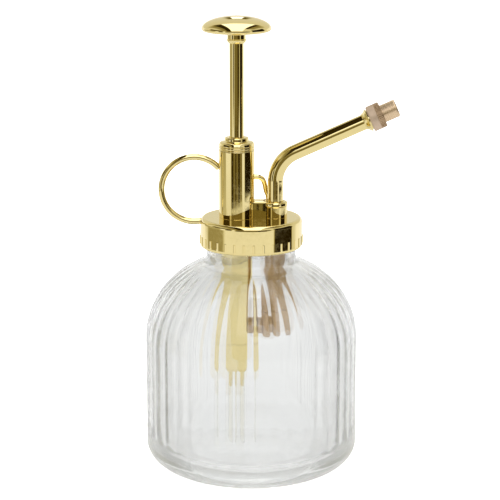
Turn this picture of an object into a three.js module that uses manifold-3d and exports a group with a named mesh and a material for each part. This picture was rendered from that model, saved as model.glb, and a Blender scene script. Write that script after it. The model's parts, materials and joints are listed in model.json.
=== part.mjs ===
// Hand mister: a fluted glass bottle with a screw-on thumb pump, finger ring and long angled spout.
// Millimetres, +Z up. The origin is the centre of the bottle's flat base; the spout points along +X.
import * as THREE from 'three';
import { mergeVertices } from 'three/addons/utils/BufferGeometryUtils.js';
import Module from 'manifold-3d';

const wasm = await Module();
wasm.setup();

const TAU = Math.PI * 2;
const rad = THREE.MathUtils.degToRad;

// Bottle
const BOTTLE_R = 36.5;
const HEEL_WIDE = 15.1;
const HEEL_HIGH = 9.4;
const SHOULDER_Z = 46.8;
const SHOULDER_RISE = 28;
const SHOULDER_R0 = 10.2;
const SHOULDER_POWER = 1.16;
const GLASS_WALL = 3;
const BASE_THICK = 5.5;
const NECK_R = 15.2;
const NECK_BORE = 12.75;
const NECK_Z = 75;
const RIM_Z = 86.2;
const FLUTES = 40;
const FLUTE_DEPTH = 0.55;
const FLUTE_PHASE = rad(1);

// Collar and its thread
const COLLAR_Z = 78.9;
const DISC_Z = 88.8;
const DISC_THICK = 1.4;
const COLLAR_R = 17.2;
const SKIRT_R = 17.75;
const COLLAR_BORE = 16.5;
const COLLAR_RIBS = 36;
const RIB_DEPTH = 0.22;
const THREAD_PITCH = 3;
const THREAD_TURNS = 1.5;
const THREAD_Z = 80.4;
const THREAD_WIRE = 0.72;

// Pump: axis, upright barrel and the long cylinder inside it
const PUMP_X = -4.95;
const BARREL_R = 6.07;
const BARREL_TOP = 112;
const CYLINDER_R = 5.3;
const CYLINDER_BORE = 4.6;
const CYLINDER_FOOT = 45;
const CYLINDER_TOP = 108.3;
const GLAND_TOP = 116.4;
const GLAND_BOSS_R = 4.1;
const ROD_R = 2.45;
const RUNNING_GAP = 0.1;
const FIT_GAP = 0.06;

// Plunger
const KNOB_R = 11.8;
const KNOB_Z = 151.9;
const KNOB_TOP = 157.3;
const FERRULE_Z = 148.1;
const PISTON_TOP = 108.2;
const SPRING_FOOT = 46.2;
const SPRING_TOP = 102.6;
const SPRING_R = 3.6;
const SPRING_WIRE = 0.42;
const SPRING_TURNS = 15;

// Discharge riser, spout and nozzle
const RISER_X = 8.2;
const RISER_R = 3.6;
const LINK_Z = 50.8;
const LINK_R = 2.9;
const SOCKET_R = 4;
const SOCKET_TOP = 94.3;
const SPOUT_R = 2.65;
const SPOUT_BORE = 1.7;
const SPOUT_FOOT = 90.1;
const ELBOW_Z = 108.15;
const ELBOW_R = 11;
const SPOUT_RISE = rad(24);
const FLARE_AT = 32.6;
const SEAT_FACE = 37.8;
const NUT_AT = 34.8;
const NUT_LENGTH = 4.7;
const NUT_R = 4.45;
const TIP_R = 3.05;
const TIP_END = 44.8;

// Finger ring
const RING_X = -19.4;
const RING_Z = 98.3;
const RING_R = 11.16;
const RING_WIRE = 1.09;

// Valve balls and dip tube
const INLET_BALL_R = 2.1;
const INLET_BALL_Z = 41.7;
const OUTLET_BALL_R = 1.7;
const OUTLET_BALL_Z = 55.85;
const DIP_R = 2.6;
const DIP_BORE = 2;
const DIP_FOOT = 8.5;

const gold = () => new THREE.MeshStandardMaterial({ color: 0xe3cd85, roughness: 0.12, metalness: 1 });
const brass = () => new THREE.MeshStandardMaterial({ color: 0xc39a68, roughness: 0.4, metalness: 1 });
const roseBrass = () => new THREE.MeshStandardMaterial({ color: 0xcfa98a, roughness: 0.3, metalness: 1 });
const steel = () => new THREE.MeshStandardMaterial({ color: 0xb9bcc0, roughness: 0.3, metalness: 1 });
const rubber = () => new THREE.MeshStandardMaterial({ color: 0x2a2a2c, roughness: 0.8, metalness: 0 });
const clearTube = () => new THREE.MeshStandardMaterial({ color: 0xf2f2ee, roughness: 0.3, metalness: 0 });
const glass = () => new THREE.MeshStandardMaterial({ color: 0xe6ecea, roughness: 0.05, metalness: 0 });

// A closed solid from a geometry: shared corners merged, needle triangles at the axis dropped.
function solid(geometry) {
  geometry.deleteAttribute('normal');
  geometry.deleteAttribute('uv');
  const welded = mergeVertices(geometry, 1e-4);
  const index = welded.index.array;
  const kept = [];
  for (let i = 0; i < index.length; i += 3) {
    const [a, b, c] = [index[i], index[i + 1], index[i + 2]];
    if (a !== b && b !== c && c !== a) kept.push(a, b, c);
  }
  const vertProperties = new Float32Array(welded.attributes.position.array);
  return new wasm.Manifold(new wasm.Mesh({ numProp: 3, vertProperties, triVerts: new Uint32Array(kept) }));
}

function geometryOf(body) {
  const mesh = body.getMesh();
  const geometry = new THREE.BufferGeometry();
  geometry.setAttribute('position', new THREE.BufferAttribute(mesh.vertProperties, 3));
  geometry.setIndex(new THREE.BufferAttribute(mesh.triVerts, 1));
  geometry.computeVertexNormals();
  return geometry;
}

const join = (first, ...rest) => rest.reduce((whole, next) => whole.add(next), first);
const cut = (first, ...rest) => rest.reduce((whole, next) => whole.subtract(next), first);

// Points of an arc in a profile, from angle a0 to a1 in degrees, 0 pointing outwards and 90 up.
function arc(r, z, radius, a0, a1, steps) {
  const points = [];
  for (let i = 0; i <= steps; i += 1) {
    const a = rad(a0 + ((a1 - a0) * i) / steps);
    points.push([r + radius * Math.cos(a), z + radius * Math.sin(a)]);
  }
  return points;
}

// A turned solid about Z. The profile [r, z] runs from axis to axis, or round a closed ring.
function turned(profile, segments = 24) {
  let area = 0;
  profile.forEach(([r, z], i) => {
    const [r2, z2] = profile[(i + 1) % profile.length];
    area += r * z2 - r2 * z;
  });
  const points = profile.map(([r, z]) => new THREE.Vector2(r, z));
  if (area < 0) points.reverse();
  if (profile[0][0] > 0) points.push(points[0].clone());
  const geometry = new THREE.LatheGeometry(points, segments);
  geometry.rotateX(Math.PI / 2);
  return geometry;
}

const tube = (bore, outer, z0, z1, segments) =>
  turned([[bore, z0], [outer, z0], [outer, z1], [bore, z1]], segments);
const rod = (radius, z0, z1, segments) => turned([[0, z0], [radius, z0], [radius, z1], [0, z1]], segments);
const moved = (geometry, x, y = 0, z = 0) => geometry.translate(x, y, z);

// A round section of the given radius carried along a curve.
function wire(curve, radius, steps, sides = 10) {
  const outline = new THREE.Shape();
  for (let i = 0; i < sides; i += 1) {
    const a = (TAU * i) / sides;
    const method = i === 0 ? 'moveTo' : 'lineTo';
    outline[method](radius * Math.cos(a), radius * Math.sin(a));
  }
  outline.closePath();
  return new THREE.ExtrudeGeometry(outline, { steps, bevelEnabled: false, extrudePath: curve });
}

class Helix extends THREE.Curve {
  constructor(x, radius, z0, rise, turns, start = 0) {
    super();
    Object.assign(this, { x, radius, z0, rise, turns, start });
  }

  getPoint(t) {
    const a = this.start + TAU * this.turns * t;
    const [px, py] = [this.x + this.radius * Math.cos(a), this.radius * Math.sin(a)];
    return new THREE.Vector3(px, py, this.z0 + this.rise * t);
  }
}

// Shoulder curve of the bottle: radius and height at angle t, for the outer or inner surface.
function shoulder(outer, inner, rise, degrees) {
  const c = Math.cos(rad(degrees)) ** SHOULDER_POWER;
  return [inner + (outer - inner) * c, SHOULDER_Z + rise * Math.sin(rad(degrees))];
}

function bottleOutside() {
  const profile = [[0, 0]];
  for (let t = 0; t <= 90; t += 18) {
    const r = BOTTLE_R - HEEL_WIDE * (1 - Math.sin(rad(t)));
    profile.push([r, HEEL_HIGH * (1 - Math.cos(rad(t)))]);
  }
  profile.push([BOTTLE_R, 28]);
  for (const t of [0, 15, 29, 42, 54, 64, 72]) {
    profile.push(shoulder(BOTTLE_R, SHOULDER_R0, SHOULDER_RISE, t));
  }
  profile.push([15.7, 74.1], [NECK_R, NECK_Z], [NECK_R, RIM_Z - 0.5], [NECK_R - 0.5, RIM_Z], [0, RIM_Z]);
  return profile;
}

function bottleInside() {
  const bore = BOTTLE_R - GLASS_WALL;
  const profile = [[0, BASE_THICK]];
  for (const t of [0, 30, 60, 90]) {
    const r = bore - (HEEL_WIDE - 1) * (1 - Math.sin(rad(t)));
    profile.push([r, BASE_THICK + 8 * (1 - Math.cos(rad(t)))]);
  }
  for (const t of [0, 20, 38, 54, 66, 74]) {
    profile.push(shoulder(bore, SHOULDER_R0 - 2, SHOULDER_RISE - GLASS_WALL, t));
  }
  profile.push([NECK_BORE, 72.5], [NECK_BORE, RIM_Z + 1], [0, RIM_Z + 1]);
  return profile;
}

// The glass is pressed in where flutes run: every second line of the turned outside sinks.
function glassBottle() {
  const geometry = turned(bottleOutside(), FLUTES * 2);
  const position = geometry.attributes.position;
  for (let i = 0; i < position.count; i += 1) {
    const [x, y, z] = [position.getX(i), position.getY(i), position.getZ(i)];
    const radius = Math.hypot(x, y);
    const angle = Math.atan2(y, x);
    const line = Math.round((angle / TAU) * FLUTES * 2);
    const fluted = z > 8 && z < 68 && line % 2 !== 0;
    const scale = fluted ? (radius - FLUTE_DEPTH) / radius : 1;
    position.setXY(i, x * scale, y * scale);
  }
  const helix = new Helix(0, NECK_R + 0.1, THREAD_Z, THREAD_PITCH * THREAD_TURNS, THREAD_TURNS);
  const thread = solid(wire(helix, THREAD_WIRE, 36, 6));
  const body = solid(geometry.rotateZ(FLUTE_PHASE));
  return cut(join(body, thread), solid(turned(bottleInside(), FLUTES)));
}

function screwCollar() {
  const profile = [[0, DISC_Z - DISC_THICK], [COLLAR_BORE, DISC_Z - DISC_THICK], [COLLAR_BORE, COLLAR_Z]];
  profile.push([SKIRT_R - 0.3, COLLAR_Z], [SKIRT_R, COLLAR_Z + 0.3], [SKIRT_R, COLLAR_Z + 1]);
  profile.push([SKIRT_R - 0.1, 84], [COLLAR_R, 84.6]);
  profile.push(...arc(COLLAR_R - 1, DISC_Z - 1, 1, 0, 90, 4), [0, DISC_Z]);
  const geometry = turned(profile, COLLAR_RIBS * 2);
  const position = geometry.attributes.position;
  for (let i = 0; i < position.count; i += 1) {
    const [x, y, z] = [position.getX(i), position.getY(i), position.getZ(i)];
    const line = Math.round((Math.atan2(y, x) / TAU) * COLLAR_RIBS * 2);
    const ribbed = z > COLLAR_Z + 0.9 && z < 84.1 && Math.hypot(x, y) > COLLAR_R && line % 2 !== 0;
    const scale = ribbed ? (SKIRT_R - RIB_DEPTH) / SKIRT_R : 1;
    position.setXY(i, x * scale, y * scale);
  }
  const helix = new Helix(0, COLLAR_BORE + 0.1, THREAD_Z, THREAD_PITCH * THREAD_TURNS, THREAD_TURNS, Math.PI);
  const thread = solid(wire(helix, THREAD_WIRE, 36, 6));
  const pumpHole = solid(moved(rod(CYLINDER_R + FIT_GAP, 80, 92), PUMP_X));
  const riserHole = solid(moved(rod(SPOUT_R + FIT_GAP, 80, 92), RISER_X));
  return cut(join(solid(geometry), thread), pumpHole, riserHole);
}

const neckGasket = () => solid(tube(NECK_BORE + 0.2, NECK_R + 0.5, RIM_Z, DISC_Z - DISC_THICK, 40));

const pumpBarrel = () => solid(tube(CYLINDER_R + RUNNING_GAP, BARREL_R, DISC_Z, BARREL_TOP, 40));

// The barrel's screw cap: a stepped shoulder with two ring grooves over a boss that guides the rod.
function glandCap() {
  const bore = ROD_R + RUNNING_GAP;
  const groove = BARREL_R - 0.25;
  const skirt = CYLINDER_R + FIT_GAP;
  const profile = [[bore, GLAND_TOP]];
  profile.push(...arc(GLAND_BOSS_R - 0.8, GLAND_TOP - 0.8, 0.8, 90, 0, 3));
  profile.push([GLAND_BOSS_R, 115.1], [5.2, 114.9], [5.8, 114.5], [BARREL_R, 113.9]);
  profile.push([BARREL_R, 113.6], [groove, 113.4], [BARREL_R, 113.2]);
  profile.push([BARREL_R, 112.7], [groove, 112.5], [BARREL_R, 112.3], [BARREL_R, BARREL_TOP]);
  profile.push([skirt, BARREL_TOP], [skirt, 108.6], [4.2, 108.6], [4.2, 113], [bore, 113]);
  return solid(turned(profile, 28));
}

const rodSeal = () => solid(tube(ROD_R + 0.03, 4.12, 110.6, 113));
const sealWasher = () => solid(tube(ROD_R + RUNNING_GAP, 4.12, 109.2, 110.5));

// The long cylinder that the piston runs in, with a side port near its foot.
function pumpCylinder() {
  const port = rod(1, 0, 9, 16).rotateY(Math.PI / 2);
  const body = solid(tube(CYLINDER_BORE, CYLINDER_R, CYLINDER_FOOT, CYLINDER_TOP, 40));
  return cut(body, solid(moved(port, 0, 0, LINK_Z)));
}

// The inlet valve's housing: spigot in the cylinder, ball seat, and a stub for the dip tube.
function inletHousing() {
  const profile = [[1.4, 29], [1.9, 29], [1.9, 35], [4.6, 35], [CYLINDER_R, 35.7]];
  profile.push([CYLINDER_R, CYLINDER_FOOT], [4.54, CYLINDER_FOOT], [4.54, SPRING_FOOT]);
  profile.push([2.6, SPRING_FOOT], [2.6, 41.6], [1.4, 40]);
  return solid(turned(profile, 32));
}

const ballStop = () => solid(tube(1.2, 2.55, 45.15, 46, 24));
const ball = (radius, x, z) => solid(moved(new THREE.SphereGeometry(radius, 16, 10), x, 0, z));

// The plastic dip tube, cut at a slant at its foot.
function dipTube() {
  const slant = new THREE.BoxGeometry(12, 12, 6).rotateY(rad(25)).translate(0, 0, DIP_FOOT - 2.5);
  return cut(solid(tube(DIP_BORE, DIP_R, DIP_FOOT, 34.9, 24)), solid(slant));
}

function knob() {
  const profile = [[0, 154.2], [ROD_R + FIT_GAP, 154.2], [ROD_R + FIT_GAP, KNOB_Z]];
  profile.push([9.6, KNOB_Z], [10.8, 152.1], [11.55, 152.5], [KNOB_R, 153], [11.6, 153.8]);
  profile.push([10.9, 154.65], [9.6, 155.5], [7.6, 156.3], [5.2, 156.85], [2.8, 157.18]);
  profile.push([1.2, KNOB_TOP], [0, KNOB_TOP]);
  return solid(turned(profile, 36));
}

function ferrule() {
  const profile = [[ROD_R + FIT_GAP, KNOB_Z], [3.5, KNOB_Z], [3.35, 151.2], [3.05, 150.4], [2.95, 149.3]];
  profile.push([3.1, 148.9], [3.1, 148.4], [2.9, FERRULE_Z], [ROD_R + FIT_GAP, FERRULE_Z]);
  return solid(turned(profile, 32));
}

function plungerRod() {
  const profile = [[0, 154.1], [ROD_R, 154.1], [ROD_R, PISTON_TOP], [1.5, PISTON_TOP]];
  profile.push([1.5, 100.4], [0, 100.4]);
  return solid(turned(profile, 32));
}

const pistonHead = () => solid(tube(1.55, 4.45, 106.6, PISTON_TOP, 32));

// Cup seal: a flat web with a lip that the pressure below spreads against the bore.
function pistonCup() {
  const profile = [[1.55, 106.5], [4.56, 106.5], [4.56, 103.7], [3.9, 103.7], [3.7, 105.4], [1.55, 105.4]];
  return solid(turned(profile, 40));
}

const pistonWasher = () => solid(turned([[1.55, 105.3], [3.5, 105.3], [3.5, 103.6], [4.2, 103.6],
  [4.2, SPRING_TOP], [1.55, SPRING_TOP]], 32));

const pistonNut = () => cut(solid(rod(2.9, 100.9, SPRING_TOP - 0.05, 6)), solid(rod(1.55, 100, 103)));

function returnSpring() {
  const z0 = SPRING_FOOT + SPRING_WIRE + 0.05;
  const rise = SPRING_TOP - SPRING_FOOT - 2 * SPRING_WIRE - 0.1;
  return solid(wire(new Helix(0, SPRING_R, z0, rise, SPRING_TURNS), SPRING_WIRE, SPRING_TURNS * 8, 5));
}

// Short cross tube that carries water from the cylinder's port to the outlet valve.
function crossTube() {
  const across = tube(1, LINK_R, PUMP_X, RISER_X, 24).rotateY(Math.PI / 2);
  const cylinder = solid(moved(rod(CYLINDER_R + RUNNING_GAP, 40, 60, 40), PUMP_X));
  const valve = solid(moved(rod(RISER_R + 0.3 + RUNNING_GAP, 40, 60, 40), RISER_X));
  return cut(solid(moved(across, 0, 0, LINK_Z)), cylinder, valve);
}

// Outlet valve body: blind foot, side port, and a cone seat at its mouth.
function outletValve() {
  const outer = RISER_R + 0.3;
  const profile = [[0, 47.4], [outer - 0.5, 47.4], [outer, 47.9], [outer, 56.5], [2.2, 56.5], [2.2, 56]];
  profile.push([1.2, 54.5], [1.2, 49], [0, 49]);
  const port = solid(moved(rod(1, -6, 0, 16).rotateY(Math.PI / 2), 0, 0, LINK_Z));
  return cut(solid(turned(profile, 32)), port);
}

function riserTube() {
  const profile = [[2.2, 56.5], [RISER_R, 56.5], [RISER_R, DISC_Z - DISC_THICK]];
  profile.push([SPOUT_R, DISC_Z - DISC_THICK], [SPOUT_R, 89.9], [1.2, 89.9], [1.2, 59.2], [2.2, 58.85]);
  return solid(turned(profile, 32));
}

function spoutSocket() {
  const profile = [[SPOUT_R + FIT_GAP, DISC_Z], [SOCKET_R, DISC_Z], [SOCKET_R, 92.7], [4.2, 92.9]];
  profile.push([4.2, 93.9], [3.9, SOCKET_TOP], [SPOUT_R + FIT_GAP, SOCKET_TOP]);
  return solid(turned(profile, 32));
}

// Centre line of the spout: up out of its socket, round the elbow and out along the slope.
function spoutLine(from, to) {
  const turn = Math.PI / 2 - SPOUT_RISE;
  const reach = ELBOW_R * Math.tan(turn / 2);
  const along = (t) => new THREE.Vector3(Math.cos(SPOUT_RISE) * t, 0, ELBOW_Z + Math.sin(SPOUT_RISE) * t);
  const path = new THREE.CurvePath();
  const points = [new THREE.Vector3(0, 0, ELBOW_Z - reach)];
  for (let i = 1; i <= 8; i += 1) {
    const a = Math.PI - (turn * i) / 8;
    points.push(new THREE.Vector3(ELBOW_R + ELBOW_R * Math.cos(a), 0, points[0].z + ELBOW_R * Math.sin(a)));
  }
  points.unshift(new THREE.Vector3(0, 0, from));
  points.push(along(to));
  points.slice(1).forEach((point, i) => path.add(new THREE.LineCurve3(points[i], point)));
  return path;
}

function spoutTube() {
  const outer = solid(wire(spoutLine(SPOUT_FOOT, NUT_AT - 1.3), SPOUT_R, 24, 16));
  const inner = solid(wire(spoutLine(SPOUT_FOOT - 1, NUT_AT - 0.6), SPOUT_BORE, 24, 10));
  return cut(outer, inner);
}

function nozzleSeat() {
  const profile = [[SPOUT_R + 0.3, FLARE_AT], [3.05, FLARE_AT], [3.3, FLARE_AT + 0.7], [4.1, NUT_AT - 0.7]];
  profile.push([4.15, NUT_AT - 0.3], [3.45, NUT_AT - 0.3], [3.45, SEAT_FACE], [1.2, SEAT_FACE]);
  profile.push([1.2, NUT_AT - 0.9], [SPOUT_R + 0.3, NUT_AT - 0.9]);
  return solid(turned(profile, 32));
}

const nozzleSeal = () => solid(tube(1.2, 2.5, SEAT_FACE + 0.1, SEAT_FACE + 0.5, 24));

function nozzleNut() {
  const end = NUT_AT + NUT_LENGTH;
  const profile = [[3.75, NUT_AT], [NUT_R - 0.3, NUT_AT], [NUT_R, NUT_AT + 0.3], [NUT_R, end - 0.3]];
  profile.push([NUT_R - 0.3, end], [TIP_R + 0.15, end], [TIP_R + 0.15, end - 0.6], [3.75, end - 0.6]);
  return solid(turned(profile, 40));
}

function nozzleTip() {
  const foot = SEAT_FACE + 0.6;
  const profile = [[1.5, foot], [3.5, foot], [3.5, foot + 0.3], [TIP_R, foot + 0.3], [TIP_R, TIP_END - 0.3]];
  profile.push([TIP_R - 0.3, TIP_END], [0.9, TIP_END], [0.35, TIP_END - 0.5], [0.35, TIP_END - 1.4]);
  profile.push([1.5, TIP_END - 1.6]);
  return solid(turned(profile, 32));
}

// Swirl core: a plug with two flats that spins the water before it reaches the orifice.
function swirlCore() {
  const flat = () => new THREE.BoxGeometry(3, 1, 4);
  const middle = SEAT_FACE + 2.9;
  const sides = [solid(flat().translate(0, 1.5, middle)), solid(flat().translate(0, -1.5, middle))];
  return cut(solid(rod(1.38, middle - 1.4, middle + 1.4, 20)), ...sides);
}

// Finger ring: an open hoop of wire from the barrel's side round to the collar's edge.
function fingerRing() {
  const points = [];
  for (let a = 35; a <= 286; a += 251 / 40) {
    const [x, z] = [RING_R * Math.cos(rad(a)), RING_R * Math.sin(rad(a))];
    points.push(new THREE.Vector3(RING_X + x, 0, RING_Z + z));
  }
  const hoop = solid(wire(new THREE.CatmullRomCurve3(points), RING_WIRE, 40, 8));
  const barrel = solid(moved(rod(BARREL_R + FIT_GAP, 88, 112, 40), PUMP_X));
  const collar = solid(rod(COLLAR_R + 0.3, 80, 90, 72));
  return cut(hoop, barrel, collar);
}

function bridgeBlock() {
  const block = new THREE.BoxGeometry(7, 5.8, 5.6).translate(2.8, 0, DISC_Z + 2.8);
  const barrel = solid(moved(rod(BARREL_R + FIT_GAP, 88, 112, 40), PUMP_X));
  const socket = solid(moved(rod(SOCKET_R + 0.2 + FIT_GAP, 88, 112, 32), RISER_X));
  return cut(solid(block), barrel, socket);
}

// Brace: a hooked wire from the barrel that drops behind the spout onto its socket.
function braceWire() {
  const route = [[0.6, 0, 102.6], [2.4, 0, 102.6], [3.9, 0.4, 101.6], [4.6, 1.4, 99.6]];
  route.push([5, 2.4, 97.4], [5.6, 3, 95.8], [5.8, 3.05, 94.4]);
  const curve = new THREE.CatmullRomCurve3(route.map((point) => new THREE.Vector3(...point)));
  const barrel = solid(moved(rod(BARREL_R + FIT_GAP, 88, 112, 40), PUMP_X));
  const socket = solid(moved(rod(6, 88, SOCKET_TOP + 0.05, 32), RISER_X));
  return cut(solid(wire(curve, 0.85, 16, 8)), barrel, socket);
}

const mister = new THREE.Group();

function add(parent, name, body, material) {
  const mesh = new THREE.Mesh(geometryOf(body), material());
  mesh.name = name;
  parent.add(mesh);
}

const pump = new THREE.Group();
pump.position.x = PUMP_X;
const outlet = new THREE.Group();
outlet.position.x = RISER_X;
const nozzle = new THREE.Group();
nozzle.position.set(RISER_X, 0, ELBOW_Z);
nozzle.rotation.y = Math.PI / 2 - SPOUT_RISE;
mister.add(pump, outlet, nozzle);

add(mister, 'glass_bottle', glassBottle(), glass);
add(mister, 'neck_gasket', neckGasket(), rubber);
add(mister, 'screw_collar', screwCollar(), gold);
add(mister, 'finger_ring', fingerRing(), gold);
add(mister, 'bridge_block', bridgeBlock(), gold);
add(mister, 'brace_wire', braceWire(), gold);
add(mister, 'cross_tube', crossTube(), brass);

add(pump, 'pump_barrel', pumpBarrel(), gold);
add(pump, 'gland_cap', glandCap(), gold);
add(pump, 'rod_seal', rodSeal(), rubber);
add(pump, 'seal_washer', sealWasher(), brass);
add(pump, 'pump_cylinder', pumpCylinder(), gold);
add(pump, 'inlet_housing', inletHousing(), gold);
add(pump, 'ball_stop', ballStop(), brass);
add(pump, 'dip_tube', dipTube(), clearTube);
add(pump, 'thumb_knob', knob(), gold);
add(pump, 'knob_ferrule', ferrule(), gold);
add(pump, 'plunger_rod', plungerRod(), gold);
add(pump, 'piston_head', pistonHead(), brass);
add(pump, 'piston_cup', pistonCup(), rubber);
add(pump, 'piston_washer', pistonWasher(), brass);
add(pump, 'piston_nut', pistonNut(), brass);
add(pump, 'return_spring', returnSpring(), steel);
add(pump, 'inlet_ball', ball(INLET_BALL_R, 0, INLET_BALL_Z), steel);

add(outlet, 'outlet_valve', outletValve(), brass);
add(outlet, 'riser_tube', riserTube(), brass);
add(outlet, 'outlet_ball', ball(OUTLET_BALL_R, 0, OUTLET_BALL_Z), steel);
add(outlet, 'spout_socket', spoutSocket(), gold);
add(outlet, 'spout_tube', spoutTube(), gold);

add(nozzle, 'nozzle_seat', nozzleSeat(), gold);
add(nozzle, 'nozzle_seal', nozzleSeal(), rubber);
add(nozzle, 'nozzle_nut', nozzleNut(), roseBrass);
add(nozzle, 'nozzle_tip', nozzleTip(), roseBrass);
add(nozzle, 'swirl_core', swirlCore(), brass);

export default mister;
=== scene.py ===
"""Looks for a hand mister: a fluted glass bottle with a polished pump head, finger ring and long spout."""
import json
import math

import bmesh
import bpy
from mathutils import Matrix, Vector


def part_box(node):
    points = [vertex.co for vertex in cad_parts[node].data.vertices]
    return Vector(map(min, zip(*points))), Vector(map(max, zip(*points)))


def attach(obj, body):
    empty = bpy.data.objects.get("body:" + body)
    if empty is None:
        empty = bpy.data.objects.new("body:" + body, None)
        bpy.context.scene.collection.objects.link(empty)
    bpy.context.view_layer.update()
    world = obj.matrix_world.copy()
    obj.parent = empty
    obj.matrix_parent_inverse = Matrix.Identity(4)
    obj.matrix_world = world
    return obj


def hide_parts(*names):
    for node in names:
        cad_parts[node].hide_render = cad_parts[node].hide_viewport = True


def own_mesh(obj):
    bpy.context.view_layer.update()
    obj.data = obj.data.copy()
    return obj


bl_info = {
    "name": "Hand Mister",
    "version": (1, 0, 0),
    "blender": (4, 5, 0),
    "location": "View3D > Sidebar > Mister",
    "description": "Builds the glass bottle, pump head, spout and nozzle of a hand mister",
    "category": "Object",
}

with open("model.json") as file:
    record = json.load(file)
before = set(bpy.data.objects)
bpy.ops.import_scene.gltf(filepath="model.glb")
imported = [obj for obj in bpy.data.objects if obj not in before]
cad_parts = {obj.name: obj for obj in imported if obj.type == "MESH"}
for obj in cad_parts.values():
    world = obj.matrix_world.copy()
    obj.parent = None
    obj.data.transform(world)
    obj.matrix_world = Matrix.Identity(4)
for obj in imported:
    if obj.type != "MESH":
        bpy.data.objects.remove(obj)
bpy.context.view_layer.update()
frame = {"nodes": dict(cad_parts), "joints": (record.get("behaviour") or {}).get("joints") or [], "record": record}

MM = 0.001
TURN = 2 * math.pi

bottle_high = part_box("glass_bottle")[1]
collar_low, collar_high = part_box("screw_collar")
barrel_low, barrel_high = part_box("pump_barrel")
knob_low, knob_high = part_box("thumb_knob")
riser_low, riser_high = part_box("riser_tube")
PUMP_X = (barrel_low.x + barrel_high.x) / 2
RISER_X = (riser_low.x + riser_high.x) / 2
DISC_Z = collar_high.z
SPOUT_AXIS = next(Vector(j["axis"]) for j in frame["joints"] if j["name"] == "nozzle_turn")
SPOUT_RISE = math.atan2(SPOUT_AXIS.z, SPOUT_AXIS.x)
ELBOW_Z = 108.15 * MM
ELBOW_R = 11 * MM
CREASE = math.radians(35)

# Sizes in millimetres that pieces share. Places along the spout count from the corner of its elbow.
PLATE = 1.4
BARREL_R = 6.07
CYLINDER_R = 5.3
CYLINDER_BORE_R = 4.6
PIPE_LEVEL = 50.8
SPOUT_R = 2.65
SPOUT_BORE_R = 1.7
SPOUT_END = 33.5
KNURL_LOW = 37.5
KNURL_HIGH = 39.4
NUT_END = 39.5
TIP_R = 3.05


# ---------------------------------------------------------------- settings


class BottleSettings(bpy.types.PropertyGroup):
    """Sizes of the pressed glass bottle"""

    flutes: bpy.props.IntProperty(name="Flutes", description="Flutes round the bottle", default=40)
    depth: bpy.props.FloatProperty(
        name="Flute depth", description="Depth of each flute", default=0.5 * MM, unit="LENGTH")
    crest: bpy.props.FloatProperty(
        name="Crest", description="Rounding of the ridge between flutes", default=0.05 * MM, unit="LENGTH")
    phase: bpy.props.FloatProperty(
        name="Phase", description="Turn of the flutes about the axis", default=math.radians(1),
        subtype="ANGLE")
    tint: bpy.props.FloatVectorProperty(
        name="Glass tint", description="Colour the thick glass takes", default=(0.80, 0.88, 0.86),
        subtype="COLOR")


class HeadSettings(bpy.types.PropertyGroup):
    """Repeats and plating of the pump head"""

    ribs: bpy.props.IntProperty(name="Collar ribs", description="Fine upright ribs on the collar", default=33)
    knurls: bpy.props.IntProperty(name="Knurl ridges", description="Ridges round the nozzle nut", default=44)
    coils: bpy.props.IntProperty(name="Spring coils", description="Turns of the return spring", default=15)
    plating: bpy.props.FloatVectorProperty(
        name="Plating", description="Colour of the pale gold plating", default=(0.86, 0.725, 0.36),
        subtype="COLOR")
    brass: bpy.props.FloatVectorProperty(
        name="Raw brass", description="Colour of the unplated brass", default=(0.56, 0.38, 0.20),
        subtype="COLOR")
    rose: bpy.props.FloatVectorProperty(
        name="Nozzle brass", description="Colour of the pinkish nozzle brass", default=(0.60, 0.47, 0.36),
        subtype="COLOR")


class StageSettings(bpy.types.PropertyGroup):
    """Floor, light and camera"""

    distance: bpy.props.FloatProperty(
        name="Camera distance", description="From the lens to the aim point", default=640 * MM, unit="LENGTH")
    pitch: bpy.props.FloatProperty(
        name="Camera pitch", description="How far the camera looks down", default=math.radians(13.46),
        subtype="ANGLE")
    aim_x: bpy.props.FloatProperty(
        name="Aim X", description="Aim point across", default=-0.45 * MM, unit="LENGTH")
    aim_z: bpy.props.FloatProperty(
        name="Aim Z", description="Aim point height", default=77.05 * MM, unit="LENGTH")
    lens: bpy.props.FloatProperty(name="Lens", description="Focal length in millimetres", default=134.4)
    floor: bpy.props.FloatVectorProperty(
        name="Floor", description="Colour of the floor", default=(0.9, 0.9, 0.9), subtype="COLOR")


# ---------------------------------------------------------------- node trees


class Nodes:
    """Lays out and wires a node tree in few words."""

    def __init__(self, tree):
        self.tree = tree
        self.count = 0

    def add(self, kind, *inputs, **settings):
        node = self.tree.nodes.new(kind)
        node.location = (180 * (self.count % 12), -260 * (self.count // 12))
        self.count += 1
        named = settings.pop("named", {})
        for name, value in settings.items():
            setattr(node, name, value)
        for key, value in list(enumerate(inputs)) + list(named.items()):
            if value is None:
                continue
            if isinstance(value, bpy.types.NodeSocket):
                self.tree.links.new(value, node.inputs[key])
            else:
                node.inputs[key].default_value = value
        return node

    def calc(self, operation, *values, kind="ShaderNodeMath"):
        node = self.add(kind, *values, operation=operation)
        return node.outputs[0]

    def step(self, value, start, end, first=0.0, last=1.0):
        """Eases from first to last while the value passes from start to end."""
        node = self.add("ShaderNodeMapRange", value, start, end, first, last, interpolation_type="SMOOTHSTEP")
        return node.outputs[0]


def new_material(name, roughness, metallic=0.0, **fixed):
    material = bpy.data.materials.new(name)
    material.use_nodes = True
    nodes = Nodes(material.node_tree)
    shader = material.node_tree.nodes["Principled BSDF"]
    shader.inputs["Metallic"].default_value = metallic
    shader.inputs["Roughness"].default_value = roughness
    for key, value in fixed.items():
        shader.inputs[key.replace("_", " ")].default_value = value
    return material, nodes, shader


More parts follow.
